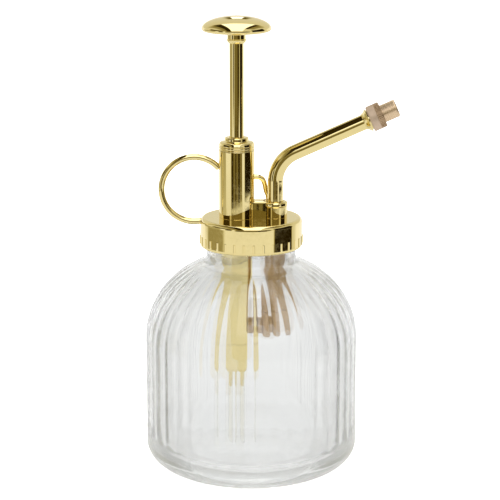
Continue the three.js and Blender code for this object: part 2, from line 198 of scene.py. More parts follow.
def noise(nodes, coordinates, scale, detail=3.0, stretch=None):
    """Noise on object coordinates; stretch scales X, Y and Z first."""
    if stretch:
        coordinates = nodes.add(
            "ShaderNodeMapping", coordinates, named={"Scale": stretch}).outputs[0]
    grain = nodes.add("ShaderNodeTexNoise", coordinates, named={"Scale": scale, "Detail": detail})
    return grain.outputs["Fac"]


def spread(nodes, factor, low, high, low_in=0.3, high_in=0.7):
    return nodes.add("ShaderNodeMapRange", factor, low_in, high_in, low, high).outputs[0]


def two_tone(nodes, factor, first, second):
    mix = nodes.add("ShaderNodeMix", data_type="RGBA", named={6: (*first, 1), 7: (*second, 1)})
    nodes.tree.links.new(factor, mix.inputs[0])
    return mix.outputs[2]


def shaded(colour, gain):
    return tuple(min(1.0, c * gain) for c in colour)


def bump(nodes, shader, height, distance, strength=1.0):
    node = nodes.add("ShaderNodeBump", named={"Strength": strength, "Distance": distance, "Height": height})
    nodes.tree.links.new(node.outputs[0], shader.inputs["Normal"])


def link(nodes, value, shader, name):
    nodes.tree.links.new(value, shader.inputs[name])


def plating_material():
    """Mirror plating: faint tone drift, polishing haze and a slight unevenness that bends reflections."""
    colour = bpy.context.scene.mister_head.plating
    material, nodes, shader = new_material("polished_gold", 0.06, 1.0)
    where = nodes.add("ShaderNodeTexCoord").outputs["Object"]
    drift = noise(nodes, where, 90)
    link(nodes, two_tone(nodes, drift, shaded(colour, 0.94), shaded(colour, 1.06)), shader, "Base Color")
    haze = noise(nodes, where, 700, 5)
    link(nodes, spread(nodes, haze, 0.02, 0.07), shader, "Roughness")
    uneven = noise(nodes, where, 160, 1)
    scratch = noise(nodes, where, 1500, 2, (1, 1, 0.12))
    height = nodes.calc("MULTIPLY_ADD", scratch, 0.03, uneven)
    bump(nodes, shader, height, 0.012 * MM)
    return material


def brass_material():
    """Unplated brown brass, satin, with dull patches and fine drawing lines."""
    colour = bpy.context.scene.mister_head.brass
    material, nodes, shader = new_material("raw_brass", 0.35, 0.85)
    where = nodes.add("ShaderNodeTexCoord").outputs["Object"]
    patch = noise(nodes, where, 180, 4)
    link(nodes, two_tone(nodes, patch, shaded(colour, 0.82), shaded(colour, 1.18)), shader, "Base Color")
    link(nodes, spread(nodes, noise(nodes, where, 420), 0.26, 0.46), shader, "Roughness")
    bump(nodes, shader, noise(nodes, where, 900, 2, (1, 1, 0.08)), 0.02 * MM)
    return material


def nozzle_material():
    """Machined pinkish brass with tool rings: matt rear, browner knurled band, and a lighter tip tone that is a
    painted highlight.
    """
    colour = bpy.context.scene.mister_head.rose
    material, nodes, shader = new_material("rose_brass", 0.28, 0.9)
    where = nodes.add("ShaderNodeTexCoord").outputs["Object"]
    axis = tuple(SPOUT_AXIS)
    along = nodes.add("ShaderNodeVectorMath", where, axis, operation="DOT_PRODUCT").outputs["Value"]
    corner = Vector((RISER_X, 0, ELBOW_Z)).dot(SPOUT_AXIS)
    knurled = spread(nodes, along, 0, 1, corner + (KNURL_LOW - 0.1) * MM, corner + (KNURL_LOW + 0.2) * MM)
    # Mask along the spout past the nut's end: there the colour takes the painted highlight tone of the tip.
    tip = spread(nodes, along, 0, 1, corner + (NUT_END + 0.05) * MM, corner + (NUT_END + 0.15) * MM)
    lines = nodes.add(
        "ShaderNodeTexNoise", noise_dimensions="1D", named={"W": along, "Scale": 5200.0, "Detail": 2.0})
    patch = noise(nodes, where, 350, 3)
    rear = two_tone(nodes, patch, shaded(colour, 0.9), shaded(colour, 1.1))
    brown = two_tone(nodes, patch, (0.34, 0.24, 0.15), (0.48, 0.34, 0.21))
    # Lighter brass tone on the tip: a painted highlight, not the metal's own colour.
    tip_painted_highlight = two_tone(nodes, patch, (0.62, 0.46, 0.30), (0.74, 0.57, 0.39))
    nut = nodes.add("ShaderNodeMix", data_type="RGBA", named={0: knurled, 6: rear, 7: brown}).outputs[2]
    tone = nodes.add("ShaderNodeMix", data_type="RGBA", named={0: tip, 6: nut, 7: tip_painted_highlight}).outputs[2]
    link(nodes, tone, shader, "Base Color")
    rough = spread(nodes, lines.outputs["Fac"], 0.22, 0.38)
    matt = nodes.calc("MULTIPLY_ADD", nodes.calc("SUBTRACT", 1.0, knurled), 0.22, rough)
    link(nodes, matt, shader, "Roughness")
    bump(nodes, shader, lines.outputs["Fac"], 0.012 * MM)
    return material


def steel_material():
    material, nodes, shader = new_material("spring_steel", 0.3, 1.0)
    where = nodes.add("ShaderNodeTexCoord").outputs["Object"]
    tone = noise(nodes, where, 300, 3)
    link(nodes, two_tone(nodes, tone, (0.48, 0.49, 0.5), (0.62, 0.63, 0.64)), shader, "Base Color")
    link(nodes, spread(nodes, noise(nodes, where, 900), 0.2, 0.38), shader, "Roughness")
    return material


def rubber_material():
    material, nodes, shader = new_material("black_rubber", 0.75)
    where = nodes.add("ShaderNodeTexCoord").outputs["Object"]
    dust = noise(nodes, where, 600, 4)
    link(nodes, two_tone(nodes, dust, (0.012, 0.012, 0.013), (0.035, 0.034, 0.033)), shader, "Base Color")
    link(nodes, spread(nodes, dust, 0.65, 0.9), shader, "Roughness")
    bump(nodes, shader, noise(nodes, where, 2500, 2), 0.02 * MM)
    return material


def plastic_material():
    """Milky clear plastic of the dip tube, with faint extrusion lines."""
    material, nodes, shader = new_material("clear_plastic", 0.25, IOR=1.1, Transmission_Weight=0.97)
    where = nodes.add("ShaderNodeTexCoord").outputs["Object"]
    cloud = noise(nodes, where, 240, 3)
    link(nodes, two_tone(nodes, cloud, (0.98, 0.97, 0.92), (0.995, 0.99, 0.96)), shader, "Base Color")
    link(nodes, spread(nodes, cloud, 0.12, 0.26), shader, "Roughness")
    bump(nodes, shader, noise(nodes, where, 1200, 1, (1, 1, 0.03)), 0.01 * MM)
    return material


def glass_material():
    """Pressed glass: clear, softly wavy, with a faint grey-green where it is thick."""
    settings = bpy.context.scene.mister_bottle
    material, nodes, shader = new_material("clear_glass", 0.0, IOR=1.45, Transmission_Weight=1.0, Alpha=0.8)
    where = nodes.add("ShaderNodeTexCoord").outputs["Object"]
    streak = noise(nodes, where, 55, 2, (1, 1, 0.35))
    link(nodes, two_tone(nodes, streak, (0.955, 0.965, 0.96), (0.985, 0.99, 0.985)), shader, "Base Color")
    link(nodes, spread(nodes, noise(nodes, where, 260), 0.0, 0.03), shader, "Roughness")
    bump(nodes, shader, streak, 0.12 * MM)
    depth = nodes.add("ShaderNodeVolumeAbsorption", named={"Color": (*settings.tint, 1), "Density": 4.0})
    output = material.node_tree.nodes["Material Output"]
    nodes.tree.links.new(depth.outputs[0], output.inputs["Volume"])
    return material


FINISHES = {
    "polished_gold": plating_material,
    "raw_brass": brass_material,
    "rose_brass": nozzle_material,
    "spring_steel": steel_material,
    "black_rubber": rubber_material,
    "clear_plastic": plastic_material,
    "clear_glass": glass_material,
}


def finish_of(slot):
    """The finish of a record slot, made the first time it is asked for."""
    finish = bpy.data.materials.get(slot + "_finish") or FINISHES[slot]()
    finish.name = slot + "_finish"
    return finish


# ---------------------------------------------------------------- shapes


def rounded(corners, closed, steps=5):
    """Points [r, z] in metres from corners (r, z, rounding) in millimetres.

    A further point just outside each rounding keeps the straight stretch beyond it flat in the light.
    """
    points = []
    last = len(corners) - 1
    for i, (r, z, size) in enumerate(corners):
        here = Vector((r, z))
        if not size or (not closed and i in (0, last)):
            points.append(here)
            continue
        before = Vector(corners[i - 1][:2]) - here
        after = Vector(corners[(i + 1) % len(corners)][:2]) - here
        reach = min(size, before.length * 0.45, after.length * 0.45)
        start = here + before.normalized() * reach
        end = here + after.normalized() * reach
        if before.length > reach * 4:
            points.append(start + before.normalized() * reach * 0.3)
        for k in range(steps + 1):
            t = k / steps
            points.append(start * (1 - t) ** 2 + here * (2 * t * (1 - t)) + end * t * t)
        if after.length > reach * 4:
            points.append(end + after.normalized() * reach * 0.3)
    return [(p.x * MM, p.y * MM) for p in points]


def mesh_piece(name, points, faces, slot, crease=CREASE):
    """A new object from points and faces, faces turned outwards, smooth but for its sharp edges."""
    mesh = bpy.data.meshes.new(name)
    mesh.from_pydata(points, [], faces)
    work = bmesh.new()
    work.from_mesh(mesh)
    bmesh.ops.remove_doubles(work, verts=work.verts, dist=1e-7)
    bmesh.ops.recalc_face_normals(work, faces=work.faces)
    work.to_mesh(mesh)
    work.free()
    mesh.shade_smooth()
    mesh.set_sharp_from_angle(angle=crease)
    mesh.materials.append(finish_of(slot))
    piece = bpy.data.objects.new(name, mesh)
    bpy.context.scene.collection.objects.link(piece)
    return piece


def ring_faces(rings, sides, closed):
    """Quads between neighbouring rings of points; a ring of one point is a pole."""
    starts = []
    total = 0
    for ring in rings:
        starts.append(total)
        total += len(ring)
    faces = []
    pairs = list(zip(range(len(rings)), range(1, len(rings))))
    if closed:
        pairs.append((len(rings) - 1, 0))
    for a, b in pairs:
        for k in range(sides):
            n = (k + 1) % sides
            low = [starts[a] + (k if len(rings[a]) > 1 else 0), starts[a] + (n if len(rings[a]) > 1 else 0)]
            high = [starts[b] + (n if len(rings[b]) > 1 else 0), starts[b] + (k if len(rings[b]) > 1 else 0)]
            face = []
            for corner in low + high:
                if corner not in face:
                    face.append(corner)
            if len(face) > 2:
                faces.append(face)
    return faces


def turned(name, corners, slot, x=0.0, segments=96, placement=None, steps=5):
    """A turned piece: corners run from axis to axis, or round a closed section when they stay off it."""
    closed = corners[0][0] > 0
    profile = rounded(corners, closed, steps)
    rings = []
    for r, z in profile:
        if r < 1e-9:
            rings.append([(0, 0, z)])
            continue
        angles = [TURN * k / segments for k in range(segments)]
        rings.append([(r * math.cos(a), r * math.sin(a), z) for a in angles])
    placement = placement or Matrix.Translation((x, 0, 0))
    points = [tuple(placement @ Vector(p)) for ring in rings for p in ring]
    return mesh_piece(name, points, ring_faces(rings, segments, closed), slot)


def carried(path, radius, sides):
    """Rings of points round a path, without twist. A number or a list gives the radius."""
    rings = []
    across = None
    for i, point in enumerate(path):
        ahead = (path[min(i + 1, len(path) - 1)] - path[max(i - 1, 0)]).normalized()
        if across is None:
            across = ahead.orthogonal().normalized()
        across = (across - ahead * across.dot(ahead)).normalized()
        other = ahead.cross(across)
        size = radius[i] if isinstance(radius, list) else radius
        ring = []
        for k in range(sides):
            a = TURN * k / sides
            ring.append(tuple(point + across * (size * math.cos(a)) + other * (size * math.sin(a))))
        rings.append(ring)
    return rings


def bent_wire(name, path, radius, slot, sides=24):
    """A solid wire along a path, with softly domed ends."""
    tail = (path[0] - path[1]).normalized()
    head = (path[-1] - path[-2]).normalized()
    steps = [0.95, 0.8, 0.55, 0.25]
    caps = [(math.sqrt(1 - s * s) * radius, s * radius * 0.4) for s in steps]
    start = [path[0] + tail * d for _, d in caps]
    end = [path[-1] + head * d for _, d in reversed(caps)]
    radii = [r for r, _ in caps] + [radius] * len(path) + [r for r, _ in reversed(caps)]
    stations = start + list(path) + end
    rings = carried(stations, radii, sides)
    rings.insert(0, [tuple(path[0] + tail * radius * 0.4)])
    rings.append([tuple(path[-1] + head * radius * 0.4)])
    points = [p for ring in rings for p in ring]
    return mesh_piece(name, points, ring_faces(rings, sides, False), slot)


def bent_tube(name, path, radius, bore, slot, sides):
    """A hollow tube along a path, open at both ends."""
    rings = carried(path, radius, sides) + carried(path, bore, sides)[::-1]
    points = [p for ring in rings for p in ring]
    return mesh_piece(name, points, ring_faces(rings, sides, True), slot)


def bored(piece, holes):
    """Cuts upright holes (x in metres, radius in millimetres) right through a piece."""
    for x, radius in holes:
        corners = [(0, 60, 0), (radius, 60, 0), (radius, 100, 0), (0, 100, 0)]
        cutter = turned("cutter", corners, "polished_gold", x)
        modifier = piece.modifiers.new("hole", "BOOLEAN")
        modifier.operation = "DIFFERENCE"
        modifier.solver = "EXACT"
        modifier.object = cutter
        bpy.context.view_layer.update()
        evaluated = piece.evaluated_get(bpy.context.evaluated_depsgraph_get())
        mesh = bpy.data.meshes.new_from_object(evaluated)
        piece.modifiers.remove(modifier)
        bpy.data.objects.remove(cutter)
        mesh.name = piece.name
        mesh.shade_smooth()
        mesh.set_sharp_from_angle(angle=CREASE)
        piece.data = mesh
    return piece


def place(piece, body, slot, *nodes):
    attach(piece, body)
    if nodes:
        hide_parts(*nodes)
    return piece


# ---------------------------------------------------------------- geometry nodes


def new_tree(name, **sizes):
    """A geometry tree with a geometry input and output and one named number for each size."""
    tree = bpy.data.node_groups.new(name, "GeometryNodeTree")
    tree.interface.new_socket("Geometry", in_out="INPUT", socket_type="NodeSocketGeometry")
    for label, value in sizes.items():
        kind = "NodeSocketInt" if isinstance(value, int) else "NodeSocketFloat"
        tree.interface.new_socket(label.replace("_", " "), in_out="INPUT", socket_type=kind)
    tree.interface.new_socket("Geometry", in_out="OUTPUT", socket_type="NodeSocketGeometry")
    nodes = Nodes(tree)
    source = nodes.add("NodeGroupInput")
    return tree, nodes, source.outputs


def end_tree(nodes, geometry, slot):
    real = nodes.add("GeometryNodeRealizeInstances", geometry).outputs[0]
    painted = nodes.add("GeometryNodeSetMaterial", real, named={"Material": finish_of(slot)}).outputs[0]
    nodes.add("NodeGroupOutput", painted)


def baked(name, carrier, tree, sizes, slot, crease=CREASE):
    """Runs a geometry tree on a carrier object and keeps the result as a plain mesh."""
    modifier = carrier.modifiers.new(tree.name, "NODES")
    modifier.node_group = tree
    for item in tree.interface.items_tree:
        label = item.name.replace(" ", "_")
        if item.in_out == "INPUT" and label in sizes:
            modifier[item.identifier] = sizes[label]
    bpy.context.view_layer.update()
    evaluated = carrier.evaluated_get(bpy.context.evaluated_depsgraph_get())
    mesh = bpy.data.meshes.new_from_object(evaluated)
    carrier.modifiers.remove(modifier)
    bpy.data.objects.remove(carrier)
    mesh.name = name
    mesh.shade_smooth()
    mesh.set_sharp_from_angle(angle=crease)
    mesh.materials.clear()
    mesh.materials.append(finish_of(slot))
    piece = bpy.data.objects.new(name, mesh)
    bpy.context.scene.collection.objects.link(piece)
    return piece


def empty_carrier():
    mesh = bpy.data.meshes.new("carrier")
    carrier = bpy.data.objects.new("carrier", mesh)
    bpy.context.scene.collection.objects.link(carrier)
    return carrier


def bars_round_axis(name, slot, sizes):
    """Round-backed bars set in a ring about Z, each upright, from Low to High."""
    tree, nodes, given = new_tree(name + "_tree", **sizes)
    ring = nodes.add("GeometryNodeCurvePrimitiveCircle", named={"Resolution": given["Count"]})
    nodes.tree.links.new(given["Ring radius"], ring.inputs["Radius"])
    low = nodes.add("ShaderNodeCombineXYZ", 0.0, 0.0, given["Low"]).outputs[0]
    high = nodes.add("ShaderNodeCombineXYZ", 0.0, 0.0, given["High"]).outputs[0]
    spine = nodes.add("GeometryNodeCurvePrimitiveLine", low, high).outputs[0]
    section = nodes.add("GeometryNodeCurvePrimitiveCircle", named={"Resolution": 8})
    nodes.tree.links.new(given["Bar radius"], section.inputs["Radius"])
    bar = nodes.add("GeometryNodeCurveToMesh", spine, section.outputs[0])
    bar.inputs["Fill Caps"].default_value = True
    spots = nodes.add("GeometryNodeCurveToPoints", ring.outputs[0], given["Count"], mode="EVALUATED")
    copies = nodes.add("GeometryNodeInstanceOnPoints", spots.outputs[0], named={"Instance": bar.outputs[0]})
    end_tree(nodes, copies.outputs[0], slot)
    return baked(name, empty_carrier(), tree, sizes, slot)


# ---------------------------------------------------------------- bottle


def shoulder(outer, neck, rise, t):
    """Dome of the bottle between the straight wall (t = 0) and the neck."""
    return neck + (outer - neck) * math.cos(t) ** 1.16, 46.8 + rise * math.sin(t)


def bottle_section():
    """The glass in section, from the centre of the base, up the outside and back down the inside."""
    outer = bottle_high.x / MM
    section = [(0, 0)]
    heel_wide, heel_high, wall = 15.1, 9.4, 3.0
    section += [(r, 0) for r in (7, 14, 19)]
    for k in range(25):
        t = math.radians(90 * k / 24)
        section.append((outer - heel_wide * (1 - math.sin(t)), heel_high * (1 - math.cos(t))))
    section += [(outer, z) for z in (10.5, 11.5, 12.5, 13.5, 14.5, 15.5, 17, 20, 26, 34, 42)]
    section += [shoulder(outer, 10.2, 28, math.radians(t)) for t in (i * 2.1 for i in range(35))]
    section += [(15.75, 74.0), (15.45, 74.5), (15.28, 75.0), (15.2, 75.6), (15.2, 77.5)]
    section += [(15.2, 79 + 0.3 * k) for k in range(22)]
    section += [(15.2, 85.7), (15.05, 86.05), (14.7, 86.2), (13.3, 86.2), (12.9, 86.05), (12.75, 85.7)]
    section += [(12.75, 80), (12.75, 75), (12.8, 72.6)]
    section += [shoulder(outer - wall, 8.2, 25, math.radians(74 - 4 * k)) for k in range(19)]
    section += [(outer - wall, z) for z in (40, 30, 20)]
    for k in range(19):
        t = math.radians(90 - 5 * k)
        section.append((outer - wall - 14 * (1 - math.sin(t)), 5.5 + 8 * (1 - math.cos(t))))
    section += [(13, 5.45), (6, 5.2), (0, 5.1)]
    return section


def flute_tree(settings):
    """Presses the flutes into the outside of the glass and raises the neck's thread, both by rule."""
    sizes = {
        "Flutes": settings.flutes, "Depth": settings.depth, "Crest": settings.crest, "Phase": settings.phase,
        "Foot": 13.2 * MM, "Foot_fade": 2.8 * MM, "Top": 73.2 * MM, "Top_fade": 5.5 * MM,
        "Thread_foot": 80.0 * MM, "Thread_pitch": 3.0 * MM, "Thread_height": 0.75 * MM,
    }
    tree, nodes, given = new_tree("bottle_flutes", **sizes)
    calc = nodes.calc
    xyz = nodes.add("ShaderNodeSeparateXYZ", nodes.add("GeometryNodeInputPosition").outputs[0]).outputs
    radius = calc("SQRT", calc("ADD", calc("MULTIPLY", xyz[0], xyz[0]), calc("MULTIPLY", xyz[1], xyz[1])))
    angle = calc("ARCTAN2", xyz[1], xyz[0])
    outside = nodes.add("GeometryNodeInputNamedAttribute", "outside", data_type="FLOAT").outputs[0]

    turn = calc("DIVIDE", calc("SUBTRACT", angle, given["Phase"]), TURN)
    step = calc("FRACT", calc("MULTIPLY", turn, given["Flutes"]))
    side = calc("MULTIPLY_ADD", step, 2.0, -1.0)
    scoop = calc("MULTIPLY", calc("SUBTRACT", 1.0, calc("MULTIPLY", side, side)), given["Depth"])
    crest = calc("MULTIPLY", given["Crest"], given["Crest"])
    soft = calc("SQRT", calc("ADD", calc("MULTIPLY", scoop, scoop), crest))
    foot = nodes.step(xyz[2], given["Foot"], calc("ADD", given["Foot"], given["Foot fade"]))
    top = nodes.step(xyz[2], calc("SUBTRACT", given["Top"], given["Top fade"]), given["Top"], 1.0, 0.0)
    pressed = calc("MULTIPLY", calc("MULTIPLY", soft, outside), calc("MULTIPLY", foot, top))

    climb = calc("DIVIDE", calc("SUBTRACT", xyz[2], given["Thread foot"]), given["Thread pitch"])
    along = calc("SUBTRACT", climb, calc("DIVIDE", angle, TURN))
    away = calc("ABSOLUTE", calc("SUBTRACT", calc("FRACT", along), 0.5))
    shape = nodes.step(away, 0.05, 0.24, 1.0, 0.0)
    start = nodes.step(climb, 0.0, 0.12)
    stop = nodes.step(climb, 1.5, 1.7, 1.0, 0.0)
    ridge = calc("MULTIPLY", calc("MULTIPLY", shape, given["Thread height"]), calc("MULTIPLY", start, stop))
    ridge = calc("MULTIPLY", ridge, outside)

    shift = calc("SUBTRACT", ridge, pressed)
    ratio = calc("DIVIDE", shift, calc("MAXIMUM", radius, 1e-5))
    across, deep = calc("MULTIPLY", xyz[0], ratio), calc("MULTIPLY", xyz[1], ratio)
    offset = nodes.add("ShaderNodeCombineXYZ", across, deep)
    moved = nodes.add("GeometryNodeSetPosition", given["Geometry"], named={"Offset": offset.outputs[0]})
    end_tree(nodes, moved.outputs[0], "clear_glass")
    return tree, sizes


class MISTER_OT_bottle(bpy.types.Operator):
    """Fluted glass bottle with its threaded neck"""

    bl_idname = "mister.bottle"
    bl_label = "Glass bottle"

    def execute(self, context):
        settings = context.scene.mister_bottle
        section = bottle_section()
        segments = settings.flutes * 12
        rings = []
        for r, z in section:
            if r == 0:
                rings.append([(0, 0, z * MM)])
                continue
            angles = [settings.phase + TURN * k / segments for k in range(segments)]
            rings.append([(r * MM * math.cos(a), r * MM * math.sin(a), z * MM) for a in angles])
        points = [p for ring in rings for p in ring]
        carrier = mesh_piece("carrier", points, ring_faces(rings, segments, False), "clear_glass")
        rim = max(range(len(section)), key=lambda i: (section[i][1], section[i][0]))
        limit = sum(len(ring) for ring in rings[:rim])
        outside = carrier.data.attributes.new("outside", "FLOAT", "POINT")
        outside.data.foreach_set("value", [float(i < limit) for i in range(len(carrier.data.vertices))])
        tree, sizes = flute_tree(settings)
        bottle = baked("glass_bottle_fluted", carrier, tree, sizes, "clear_glass", math.radians(60))
        place(bottle, "bottle", "clear_glass", "glass_bottle")
        return {"FINISHED"}


# ---------------------------------------------------------------- head


class MISTER_OT_collar(bpy.types.Operator):
    """Screw collar with its fine ribs, and the gasket under it"""

    bl_idname = "mister.collar"
    bl_label = "Collar"

    def execute(self, context):
        top = DISC_Z / MM
        low = collar_low.z / MM
        corners = [(0, top - PLATE, 0), (16.5, top - PLATE, 0.5), (16.5, low + 0.5, 0), (16.7, low, 0.2)]
        corners += [(17.2, low, 0.3), (17.42, low + 0.6, 0.3), (17.42, top - 0.85, 0.5), (16.7, top, 0.7)]
        corners += [(0, top, 0)]
        collar = turned("collar_shell", corners, "polished_gold", segments=160)
        bored(collar, ((PUMP_X, 5.36), (RISER_X, 3.66)))
        place(collar, "head", "polished_gold", "screw_collar")
        ribs = context.scene.mister_head.ribs
        sizes = {"Count": ribs, "Ring_radius": 17.35 * MM, "Bar_radius": 0.38 * MM,
                 "Low": 79.7 * MM, "High": 82.6 * MM}
        bars = bars_round_axis("collar_ribs", "polished_gold", sizes)
        place(bars, "head", "polished_gold", "screw_collar")
        corners = [(12.95, 86.2, 0.2), (15.7, 86.2, 0.2), (15.7, 87.4, 0.2), (12.95, 87.4, 0.2)]
        gasket = turned("neck_gasket_ring", corners, "black_rubber")
        place(gasket, "neck_seal", "black_rubber", "neck_gasket")
        return {"FINISHED"}


class MISTER_OT_barrel(bpy.types.Operator):
    """Pump barrel, its gland cap, and the long cylinder and foot below the collar"""

    bl_idname = "mister.barrel"
    bl_label = "Pump barrel"

    def execute(self, context):
        x = PUMP_X
        top = DISC_Z / MM
        wide = BARREL_R
        corners = [(5.4, top, 0), (wide, top, 0.1), (wide, 111.9, 0.15), (5.4, 111.9, 0)]
        barrel = turned("barrel_sleeve", corners, "polished_gold", x)
        place(barrel, "head", "polished_gold", "pump_barrel")
        corners = [(2.55, 116.4, 0.2), (4.1, 116.4, 0.9), (4.1, 115.05, 0.35), (5.75, 114.75, 1.1)]
        corners += [(wide, 113.75, 0.3), (wide, 113.5, 0.12), (5.8, 113.3, 0.1), (wide, 113.1, 0.12)]
        corners += [(wide, 112.65, 0.12), (5.8, 112.45, 0.1), (wide, 112.25, 0.12), (wide, 111.98, 0.08)]
        corners += [(5.36, 111.98, 0), (5.36, 108.6, 0), (4.2, 108.6, 0), (4.2, 113, 0), (2.55, 113, 0)]
        gland = turned("gland_cap_turned", corners, "polished_gold", x, steps=4)
        place(gland, "head", "polished_gold", "gland_cap")
        bore, wide = CYLINDER_BORE_R, CYLINDER_R
        corners = [(bore, 45, 0), (wide, 45, 0.15), (wide, 108.3, 0), (bore, 108.3, 0)]
        cylinder = turned("cylinder_tube", corners, "polished_gold", x)
        place(cylinder, "head", "polished_gold", "pump_cylinder")
        corners = [(1.4, 29, 0), (1.75, 29, 0.1), (1.9, 29.5, 0), (1.9, 35, 0.2), (4.6, 35, 0.4)]
        corners += [(wide, 36, 0.4), (wide, 44.6, 0.2), (5.1, 44.85, 0), (5.1, 45, 0), (4.54, 45, 0)]
        corners += [(4.54, 46.2, 0), (2.6, 46.2, 0), (2.6, 41.6, 0), (1.4, 40, 0)]
        foot = turned("inlet_foot", corners, "polished_gold", x)
        place(foot, "head", "polished_gold", "inlet_housing")
        return {"FINISHED"}


class MISTER_OT_plunger(bpy.types.Operator):
    """Thumb knob, its ferrule and the polished rod"""

    bl_idname = "mister.plunger"
    bl_label = "Plunger"

    def execute(self, context):
        x = PUMP_X
        low, high = knob_low.z / MM, knob_high.z / MM
        reach = (knob_high.x - knob_low.x) / 2 / MM
        rim = low + 1.1
        dome = [(0, 154.2, 0), (2.5, 154.2, 0), (2.5, low, 0), (9.2, low, 0.5)]
        for k in range(1, 12):
            a = math.radians(8 * k - 90)
            dome.append((9.5 + (reach - 9.5) * math.cos(a), rim + (rim - low) * math.sin(a), 0))
        for k in range(31):
            r = reach * math.cos(math.radians(3 * k))
            dome.append((r, rim + (high - rim) * math.sqrt(1 - (r / reach) ** 2), 0))
        dome[-1] = (0, high, 0)
        knob = turned("knob_dome", dome, "polished_gold", x, 128, steps=8)
        place(knob, "plunger", "polished_gold", "thumb_knob")
        cone = [(2.46, low, 0), (3.45, low, 0.1), (3.4, 151.4, 0.2), (3.15, 151.15, 0.1), (3.15, 149.6, 0.1)]
        cone += [(3.3, 149.35, 0.15), (3.25, 148.8, 0.3), (2.75, 148.2, 0.15), (2.46, 148.1, 0)]
        ferrule = turned("knob_ferrule_turned", cone, "polished_gold", x)
        place(ferrule, "plunger", "polished_gold", "knob_ferrule")
        corners = [(0, 154, 0), (2.45, 154, 0), (2.45, 108.2, 0.1), (1.5, 108.2, 0), (1.5, 100.4, 0.2)]
        corners += [(0, 100.4, 0)]
        rod = turned("polished_rod", corners, "polished_gold", x)
        place(rod, "plunger", "polished_gold", "plunger_rod")
        return {"FINISHED"}


class MISTER_OT_wires(bpy.types.Operator):
    """Finger ring and the hooked brace wire"""

    bl_idname = "mister.wires"
    bl_label = "Finger ring and brace"

    def execute(self, context):
        centre = Vector((-19.4, 0, 98.3)) * MM
        radius = 11.16 * MM
        first, last = 42, 281
        arc = [math.radians(first + (last - first) * k / 120) for k in range(121)]
        path = [centre + Vector((math.cos(a), 0, math.sin(a))) * radius for a in arc]
        ring = bent_wire("finger_ring_wire", path, 1.09 * MM, "polished_gold", 28)
        place(ring, "head", "polished_gold", "finger_ring")
        route = [(0.9, 0, 102.6), (2.4, 0, 102.6), (3.9, 0.4, 101.6), (4.6, 1.4, 99.6), (5, 2.4, 97.4)]
        route += [(5.6, 3, 95.8), (5.8, 3.05, 94.3)]
        path = smooth_path([Vector(p) * MM for p in route], 12)
        brace = bent_wire("brace_hook", path, 0.85 * MM, "polished_gold", 20)
        place(brace, "head", "polished_gold", "brace_wire")
        return {"FINISHED"}


def smooth_path(points, steps):
    """A Catmull-Rom curve through the points."""
    ends = [points[0] * 2 - points[1]] + points + [points[-1] * 2 - points[-2]]
    path = []
    for i in range(1, len(ends) - 2):
        a, b, c, d = ends[i - 1:i + 3]
        for k in range(steps):
            t = k / steps
            path.append(0.5 * (2 * b + (c - a) * t + (2 * a - 5 * b + 4 * c - d) * t ** 2
                               + (3 * b - a - 3 * c + d) * t ** 3))
    return path + [points[-1]]


def spout_path(foot, reach, steps=24):
    """Centre line of the spout: up from its socket, round the elbow and out along the slope."""
    turn = math.pi / 2 - SPOUT_RISE
    start = ELBOW_Z - ELBOW_R * math.tan(turn / 2)
    path = [Vector((RISER_X, 0, foot + (start - foot) * k / 6)) for k in range(6)]
    for k in range(steps + 1):
        a = math.pi - turn * k / steps
        path.append(Vector((RISER_X + ELBOW_R + ELBOW_R * math.cos(a), 0, start + ELBOW_R * math.sin(a))))
    corner = Vector((RISER_X, 0, ELBOW_Z))
    end = corner + SPOUT_AXIS * reach
    first = path[-1]
    path += [first.lerp(end, k / 16) for k in range(1, 17)]
    return path


def along_spout():
    """Placement that carries a piece turned about Z out along the spout, zero at the elbow's corner."""
    turn = Matrix.Rotation(math.pi / 2 - SPOUT_RISE, 4, "Y")
    return Matrix.Translation((RISER_X, 0, ELBOW_Z)) @ turn


class MISTER_OT_spout(bpy.types.Operator):
    """Socket, bridge, bent spout tube and the flared seat at its end"""

    bl_idname = "mister.spout"
    bl_label = "Spout"

    def execute(self, context):
        top = DISC_Z / MM
        corners = [(2.7, top, 0), (4.0, top, 0.1), (4.0, 92.6, 0.25), (4.2, 92.85, 0.2), (4.2, 93.8, 0.35)]
        corners += [(3.75, 94.3, 0.3), (2.75, 94.3, 0.2)]
        socket = turned("socket_turned", corners, "polished_gold", RISER_X)
        place(socket, "head", "polished_gold", "spout_socket")
        path = spout_path(90.1 * MM, SPOUT_END * MM)
        tube = bent_tube("spout_tube_bent", path, SPOUT_R * MM, SPOUT_BORE_R * MM, "polished_gold", 48)
        place(tube, "head", "polished_gold", "spout_tube")
        corners = [(2.66, 32.6, 0), (2.8, 32.6, 0.06), (2.9, 33.0, 0.3), (3.6, 33.85, 0.4)]
        corners += [(4.1, 34.25, 0.15), (4.12, 34.5, 0.08), (3.45, 34.5, 0), (3.45, 37.8, 0.1)]
        corners += [(1.2, 37.8, 0), (1.2, 33.9, 0), (2.66, 33.9, 0)]
        seat = turned("flared_seat", corners, "polished_gold", placement=along_spout())
        place(seat, "head", "polished_gold", "nozzle_seat")
        bridge = bridge_block()
        place(bridge, "head", "polished_gold", "bridge_block")
        return {"FINISHED"}


